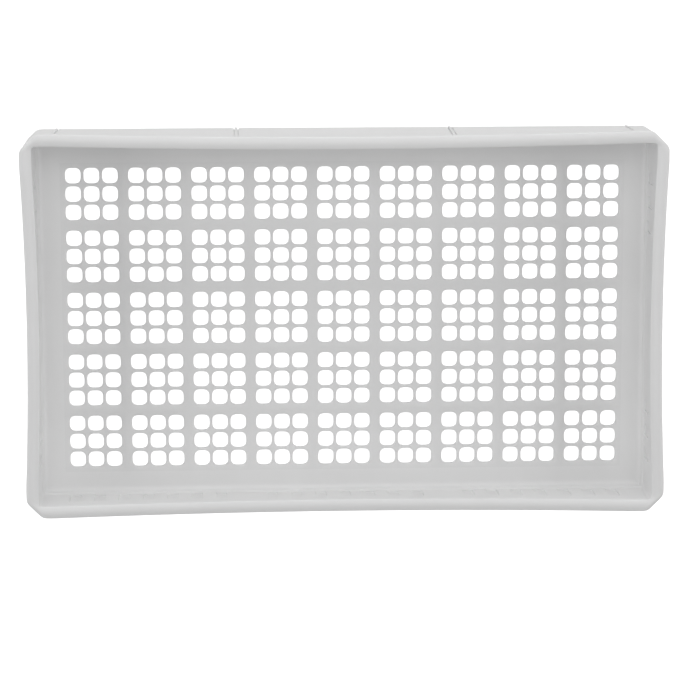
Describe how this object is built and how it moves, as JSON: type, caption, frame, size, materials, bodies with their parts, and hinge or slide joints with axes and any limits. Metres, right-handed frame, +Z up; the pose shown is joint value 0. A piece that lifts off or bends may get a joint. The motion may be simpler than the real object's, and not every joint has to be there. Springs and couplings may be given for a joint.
{
  "type": "perforated nursery tray",
  "caption": "Shallow rectangular stacking tray with an open top, a grid floor of small square holes, double walls with rows of shallow upright recesses and a hollow rounded rim.",
  "frame": {"origin": "middle of the footprint, on the surface the tray stands on", "axes": "+X along the long side, +Y across the tray, +Z up out of the open top"},
  "size_m": [0.5, 0.3, 0.06],
  "materials": {
    "tray_plastic": "satin as moulded, white polypropylene"
  },
  "bodies": {
    "root": {"corner_post_front_left": "tray_plastic", "corner_post_front_right": "tray_plastic", "corner_post_rear_left": "tray_plastic", "corner_post_rear_right": "tray_plastic", "floor_panel": "tray_plastic", "inner_wall_front": "tray_plastic", "inner_wall_left": "tray_plastic", "inner_wall_rear": "tray_plastic", "inner_wall_right": "tray_plastic", "rim_corner_front_left": "tray_plastic", "rim_corner_front_right": "tray_plastic", "rim_corner_rear_left": "tray_plastic", "rim_corner_rear_right": "tray_plastic", "rim_front": "tray_plastic", "rim_left": "tray_plastic", "rim_rear": "tray_plastic", "rim_right": "tray_plastic", "skirt_front_1": "tray_plastic", "skirt_front_2": "tray_plastic", "skirt_front_3": "tray_plastic", "skirt_left_1": "tray_plastic", "skirt_left_2": "tray_plastic", "skirt_left_3": "tray_plastic", "skirt_rear_1": "tray_plastic", "skirt_rear_2": "tray_plastic", "skirt_rear_3": "tray_plastic", "skirt_right_1": "tray_plastic", "skirt_right_2": "tray_plastic", "skirt_right_3": "tray_plastic", "underside_rib_grid": "tray_plastic", "web_front_1": "tray_plastic", "web_front_2": "tray_plastic", "web_front_3": "tray_plastic", "web_front_4": "tray_plastic", "web_left_1": "tray_plastic", "web_left_2": "tray_plastic", "web_left_3": "tray_plastic", "web_left_4": "tray_plastic", "web_rear_1": "tray_plastic", "web_rear_2": "tray_plastic", "web_rear_3": "tray_plastic", "web_rear_4": "tray_plastic", "web_right_1": "tray_plastic", "web_right_2": "tray_plastic", "web_right_3": "tray_plastic", "web_right_4": "tray_plastic"}
  },
  "joints": []
}
